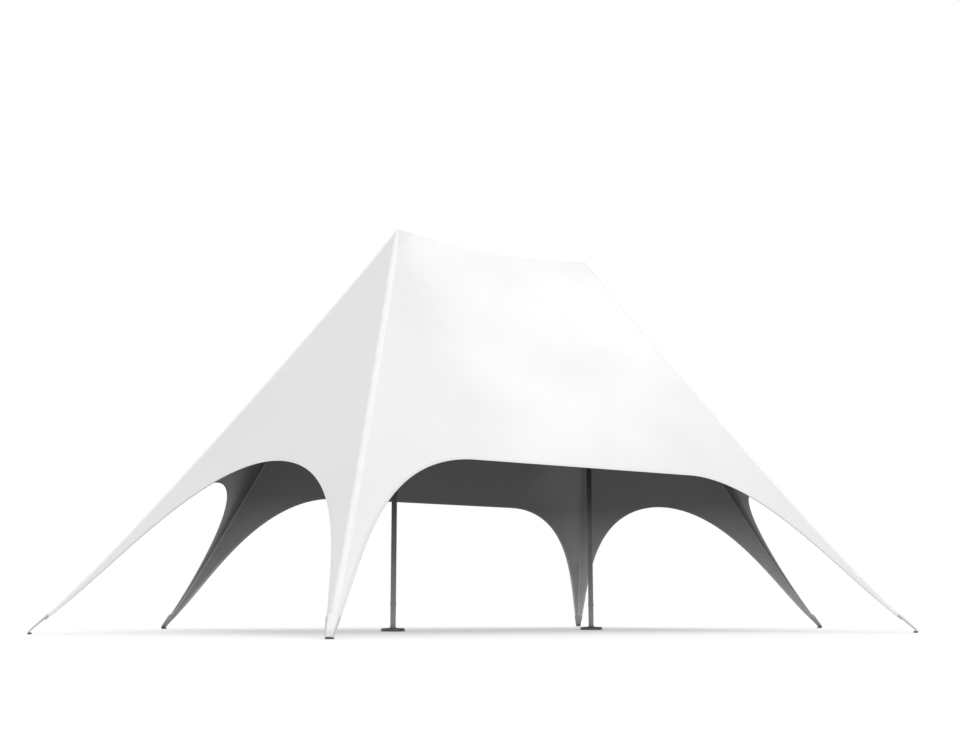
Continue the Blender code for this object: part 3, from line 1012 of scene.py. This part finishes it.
# the plate lies in a leg's frame, with X running out from the pole
def modelPlate():
    start, end, columns = plate["start"], plate["end"], plate["columns"]
    rows = len(plate["rowsAt"]) - 1
    useOnly(bpy.data.objects["floor"])
    bpy.ops.object.select_all(action="DESELECT")
    bpy.ops.mesh.primitive_grid_add(x_subdivisions=rows, y_subdivisions=columns, size=1,
                                    location=((start + end) / 2, 0, 0))
    piece = bpy.context.object
    piece.name = "plate_model"
    piece.scale = (end - start, 2 * plate["startHalf"], 1)
    settle(piece)
    bpy.ops.object.mode_set(mode="EDIT")
    for row, reach in enumerate(plate["rowsAt"]):
        even, out = start + (end - start) * row / rows, start + reach
        pick(piece, "VERT", lambda v: near(v.co.x, even))
        bpy.ops.transform.resize(value=(1, plateHalf(out) / plate["startHalf"], 1))
        bpy.ops.transform.translate(value=(out - even, 0, 0))
        for column in range(columns // 2 + 1):
            aside = 1 - 2 * column / columns
            pick(piece, "VERT", lambda v: near(v.co.x, out) and near(abs(v.co.y), aside * plateHalf(out)))
            bpy.ops.transform.translate(value=(0, 0, plateRise(out, aside)))
    pick(piece, "FACE", lambda f: True)
    bpy.ops.mesh.extrude_region_move(TRANSFORM_OT_translate={"value": (0, 0, -plate["drop"])})
    pick(piece, "FACE", lambda f: True)
    bpy.ops.mesh.normals_make_consistent(inside=False)
    bpy.ops.object.mode_set(mode="OBJECT")
    addRim(piece, plate["rim"])
    return piece


def modelToe():
    middle = (toe["start"] + tent["legReach"]) / 2
    bpy.ops.mesh.primitive_cube_add(size=1, location=(middle, 0, toe["height"] / 2))
    piece = bpy.context.object
    piece.name = "toe_model"
    piece.scale = (tent["legReach"] - toe["start"], 2 * toe["startHalf"], toe["height"])
    settle(piece)
    bpy.ops.object.mode_set(mode="EDIT")
    pick(piece, "FACE", lambda f: f.normal.x > 0.9)
    bpy.ops.transform.resize(value=(1, toe["tipHalf"] / toe["startHalf"], 1))
    pick(piece, "EDGE", lambda e: all(near(v.co.x, tent["legReach"]) for v in e.verts)
         and near(e.verts[0].co.y, e.verts[1].co.y))
    bpy.ops.mesh.bevel(offset=toe["chamfer"], segments=1, affect="EDGES")
    bpy.ops.object.mode_set(mode="OBJECT")
    addRim(piece, toe["rim"], 3, 30)
    return piece


def modelRivets():
    heads = []
    for reach, across in rivets["spots"]:
        out = plate["start"] + reach
        height = plateRise(out, across / plateHalf(out))
        bpy.ops.object.select_all(action="DESELECT")
        bpy.ops.mesh.primitive_uv_sphere_add(segments=20, ring_count=10, radius=rivets["radius"])
        head = bpy.context.object
        bpy.ops.object.mode_set(mode="EDIT")
        bpy.ops.mesh.select_all(action="SELECT")
        bpy.ops.mesh.bisect(plane_co=(0, 0, 0), plane_no=(0, 0, 1), clear_inner=True, use_fill=True)
        pick(head, "FACE", lambda f: True)
        bpy.ops.transform.resize(value=(1, 1, rivets["flatness"]))
        bpy.ops.object.mode_set(mode="OBJECT")
        head.rotation_euler = (0, rivets["tilt"], 0)
        head.location = (out, across, height - 0.0004)
        settle(head)
        heads.append(head)
    bpy.ops.object.select_all(action="DESELECT")
    for head in heads:
        head.select_set(True)
    bpy.context.view_layer.objects.active = heads[0]
    bpy.ops.object.join()
    heads[0].name = "rivet_model"
    return heads[0]


# painted shade: the plate is darker on its flanks and on the facet above the toe
def paintPlateShade(piece):
    darkening = piece.data.attributes.new("shade", "FLOAT", "POINT")
    for vertex in piece.data.vertices:
        out = vertex.co.x
        aside = min(1.0, abs(vertex.co.y) / plateHalf(max(out, plate["start"] + 0.001)))
        flank = 1 + (plate["flankShade"] - 1) * easeBetween(aside, plate["flankFrom"], 1.0)
        facet = 1 + (plate["facetShade"] - 1) * easeBetween(out, plate["knee"] - 0.003, plate["knee"] + 0.003)
        darkening.data[vertex.index].value = min(flank, facet)


def makeFeet():
    plateModel = modelPlate()
    paintPlateShade(plateModel)
    models = (
        (plateModel, "plate", "foot_plate", ("plate", "plateUnder"), lambda f: 1 if f.normal.z < -0.2 else 0),
        (modelToe(), "toe", "foot_toe", ("toe", "plateUnder"), lambda f: 1 if f.normal.x < -0.3 else 0),
        (modelRivets(), "rivets", "foot_plate", ("rivet",), lambda f: 0),
    )
    for model, word, slot, looks, lookOf in models:
        model.data.materials.clear()
        for look in looks:
            model.data.materials.append(finishes[look])
        for face in model.data.polygons:
            face.material_index = lookOf(face)
        stands = word != "rivets"
        for leg in legs:
            piece = copyOnLeg(model, leg, f"{word}_{leg}")
            smooth(piece, 35)
            if stands:
                finishPiece(piece, slot, f"foot_{word}_{leg}")
            else:
                finishPiece(piece, slot)
        bpy.data.objects.remove(model)


# poles and bases

pole = {
    "radius": 0.0375,
    "wall": 0.003,
    "joint": 2.90,
    "sides": 64,
    "spigot": 0.20,
    "fit": 0.0003,
    "rim": 0.0008,
    # painted shade: the finish is painted darker higher up the pole, where shade falls under the canopy, and
    # painted pale at the foot: height, and the share of the full tone there
    "heightShade": ((0.0, 1.0), (0.08, 1.0), (0.30, 0.64), (1.0, 0.34),
              (1.4, 0.265), (1.7, 0.17), (2.0, 0.08), (2.5, 0.06)),
}
collar = {
    "bottom": 0.355,
    "height": 0.030,
    "wall": 0.004,
    "rim": 0.0015,
}
base = {
    "radius": 0.165,
    "thickness": 0.044,
    "topRound": 0.012,
    "bottomRound": 0.005,
    "recess": 0.0015,
    "recessRim": 0.012,
    "hubRadius": 0.072,
    "hubTop": 0.056,
    "flange": 0.003,
    "ledge": 0.008,
    "chamfer": 0.004,
}
head = {
    "under": 0.0343,        # how far its flat top lies under the peak
    "tall": 0.165,
    "radius": 0.100,
    "tip": 0.010,
    "rim": 0.008,
    "skirt": 0.020,
    "taper": 0.8,
    "round": 0.003,
}


# a tube with an open bore and softened ends
def addTube(name, radius, wall, bottom, top, x, rim):
    bpy.ops.object.select_all(action="DESELECT")
    bpy.ops.mesh.primitive_cylinder_add(vertices=pole["sides"], radius=radius, depth=top - bottom,
                                        location=(x, 0, (top + bottom) / 2))
    piece = bpy.context.object
    piece.name = name
    settle(piece)
    bpy.ops.object.mode_set(mode="EDIT")
    pick(piece, "FACE", lambda f: abs(f.normal.z) > 0.9)
    bpy.ops.mesh.inset(thickness=wall)
    bpy.ops.mesh.bridge_edge_loops()
    bpy.ops.mesh.select_all(action="SELECT")
    bpy.ops.mesh.normals_make_consistent(inside=False)
    pick(piece, "EDGE", lambda e: e.calc_face_angle(0) > radians(60))
    bpy.ops.mesh.bevel(offset=rim, segments=2, affect="EDGES")
    bpy.ops.object.mode_set(mode="OBJECT")
    return piece


def paintAndFinish(piece, look, slot, *nodes):
    piece.data.materials.clear()
    piece.data.materials.append(finishes[look])
    smooth(piece, 35)
    finishPiece(piece, slot, *nodes)


def makePole(end, word):
    x, radius, wall, fit = end * tent["halfSpacing"], pole["radius"], pole["wall"], pole["fit"]
    headTop = tent["peakHeight"] - head["under"]
    headBottom = headTop - head["tall"]
    parts = (
        ("pole_lower", radius, wall, base["hubTop"] + fit, pole["joint"], "pole_tube", "lower_pole"),
        ("pole_upper", radius, wall, pole["joint"] + 2 * fit, headBottom, "pole_tube", "upper_pole"),
        ("pole_spigot", radius - wall - fit, wall, pole["joint"] - pole["spigot"],
         pole["joint"] + pole["spigot"], "pole_tube", None),
        ("collar", radius + fit + collar["wall"], collar["wall"], collar["bottom"],
         collar["bottom"] + collar["height"], "pole_fitting", "pole_collar"),
    )
    for name, outside, thick, bottom, top, slot, node in parts:
        rim = collar["rim"] if name == "collar" else pole["rim"]
        piece = addTube(f"{name}_{word}", outside, thick, bottom, top, x, rim)
        paintAndFinish(piece, "pole", slot, *([f"{node}_{word}"] if node else []))
    makeDisc(x, word)
    makeHub(x, word)
    makeHead(x, word, headTop, headBottom)


def makeDisc(x, word):
    bpy.ops.object.select_all(action="DESELECT")
    high = base["thickness"]
    bpy.ops.mesh.primitive_cylinder_add(vertices=96, radius=base["radius"], depth=high,
                                        location=(x, 0, high / 2))
    piece = bpy.context.object
    piece.name = f"disc_{word}"
    settle(piece)
    bpy.ops.object.mode_set(mode="EDIT")
    pick(piece, "EDGE", lambda e: all(near(v.co.z, high) for v in e.verts))
    bpy.ops.mesh.bevel(offset=base["topRound"], segments=5, affect="EDGES")
    pick(piece, "EDGE", lambda e: all(near(v.co.z, 0) for v in e.verts))
    bpy.ops.mesh.bevel(offset=base["bottomRound"], segments=3, affect="EDGES")
    pick(piece, "FACE", lambda f: near(f.calc_center_median().z, high) and f.normal.z > 0.9)
    bpy.ops.mesh.inset(thickness=base["recessRim"])
    bpy.ops.mesh.extrude_region_move(TRANSFORM_OT_translate={"value": (0, 0, -base["recess"])})
    bpy.ops.object.mode_set(mode="OBJECT")
    paintAndFinish(piece, "base", "pole_base", f"base_disc_{word}")


# a low stepped hub in the disc's recess, with a ledge that the pole stands on
def makeHub(x, word):
    bpy.ops.object.select_all(action="DESELECT")
    low, high = base["thickness"] - base["recess"] + 0.0003, base["hubTop"]
    shoulder = base["thickness"] + base["flange"]
    ledge = pole["radius"] + base["ledge"]
    bpy.ops.mesh.primitive_cylinder_add(vertices=pole["sides"], radius=base["hubRadius"],
                                        depth=shoulder - low, location=(x, 0, (low + shoulder) / 2))
    piece = bpy.context.object
    piece.name = f"hub_{word}"
    settle(piece)
    bpy.ops.object.mode_set(mode="EDIT")
    pick(piece, "FACE", lambda f: f.normal.z > 0.99)
    steps = ((high - base["chamfer"] - shoulder, (ledge + base["chamfer"]) / base["hubRadius"]),
             (base["chamfer"], ledge / (ledge + base["chamfer"])))
    for rise, shrink in steps:
        bpy.ops.mesh.extrude_region_move(TRANSFORM_OT_translate={"value": (0, 0, rise)})
        bpy.ops.transform.resize(value=(shrink, shrink, 1))
    bpy.ops.mesh.inset(thickness=base["ledge"])
    pick(piece, "EDGE", lambda e: e.calc_face_angle(0) > radians(15) and e.verts[0].co.z > low + 0.002)
    bpy.ops.mesh.bevel(offset=0.0009, segments=3, affect="EDGES")
    bpy.ops.object.mode_set(mode="OBJECT")
    paintAndFinish(piece, "hub", "pole_base", f"base_hub_{word}")


# a blunt cone that carries the cap, on a short tapered skirt
def makeHead(x, word, top, bottom):
    bpy.ops.object.select_all(action="DESELECT")
    rim = bottom + head["skirt"] + head["rim"]
    bpy.ops.mesh.primitive_cone_add(vertices=pole["sides"], radius1=head["radius"], radius2=head["tip"],
                                    depth=top - rim, location=(x, 0, (top + rim) / 2))
    piece = bpy.context.object
    piece.name = f"head_{word}"
    settle(piece)
    bpy.ops.object.mode_set(mode="EDIT")
    pick(piece, "FACE", lambda f: f.normal.z < -0.9)
    bpy.ops.mesh.extrude_region_move(TRANSFORM_OT_translate={"value": (0, 0, -head["rim"])})
    bpy.ops.mesh.extrude_region_move(TRANSFORM_OT_translate={"value": (0, 0, -head["skirt"])})
    bpy.ops.transform.resize(value=(head["taper"], head["taper"], 1))
    pick(piece, "EDGE", lambda e: e.calc_face_angle(0) > radians(25))
    bpy.ops.mesh.bevel(offset=head["round"], segments=3, affect="EDGES")
    bpy.ops.object.mode_set(mode="OBJECT")
    paintAndFinish(piece, "fitting", "pole_fitting", f"pole_head_{word}")


# peak caps

cap = {
    "reach": 0.165,
    "lift": 0.0015,
    "tipRound": 0.010,
    "rings": 16,
    "sides": 96,
    "thickness": 0.002,
}


# above the sleeves and the cloth, rounded over the pole head
def capHeight(end, x, y):
    radius = hypot(x, y)
    plain = tentHeight(end * tent["halfSpacing"] + x, y)
    drop = max(0.0, cap["tipRound"] - radius) ** 2 / (2 * cap["tipRound"])
    return plain + cap["lift"] - drop


def makeCap(end, word):
    mesh = bmesh.new()
    grain = mesh.loops.layers.uv.new("UVMap")
    centre = end * tent["halfSpacing"]
    rings = []
    for ring in range(1, cap["rings"] + 1):
        radius = cap["reach"] * ring / cap["rings"]
        corners = []
        for side in range(cap["sides"]):
            angle = 2 * pi * side / cap["sides"]
            x, y = radius * cos(angle), radius * sin(angle)
            corners.append(mesh.verts.new((centre + x, y, capHeight(end, x, y))))
        rings.append(corners)
    tip = mesh.verts.new((centre, 0, capHeight(end, 0.0, 0.0)))
    for side in range(cap["sides"]):
        after = (side + 1) % cap["sides"]
        faces = [mesh.faces.new((tip, rings[0][side], rings[0][after]))]
        for ring in range(cap["rings"] - 1):
            faces.append(mesh.faces.new((rings[ring][side], rings[ring + 1][side],
                                         rings[ring + 1][after], rings[ring][after])))
        # uV in metres round the rim and out from the tip, so that stitches follow the rim
        for face in faces:
            for loop in face.loops:
                x, y = loop.vert.co.x - centre, loop.vert.co.y
                angle = atan2(y, x) % (2 * pi)
                if after == 0 and angle < pi:
                    angle = 2 * pi
                loop[grain].uv = (angle * cap["reach"], hypot(x, y))
    piece = newPiece(f"cap_{word}", mesh, [finishes["cap"], finishes["lining"]])
    thicken(piece, cap["thickness"], 1)
    smooth(piece, 50)
    finishPiece(piece, "canopy_cloth", f"peak_cap_{word}")
    return piece


# build

makeCamera()
makeSky()
makeSuns()
makeFloor()
finishes = makeFinishes()
print("stage and finishes ready")
panels = {name: makePanel(name, *pair) for name, pair in endPanels.items()}
panels.update({name: makePanel(name, *pair) for name, pair in sidePanels.items()})
print("canopy cloth made")
sleeves = makeSleeves()
webbings = makeWebbings()
hems = makeHems()
print("ridges and hems made")
makeFeet()
for end, word in ((-1, "left"), (1, "right")):
    makePole(end, word)
    makeCap(end, word)
print("feet, poles and caps made")

bpy.context.scene.view_settings.view_transform = "Standard"
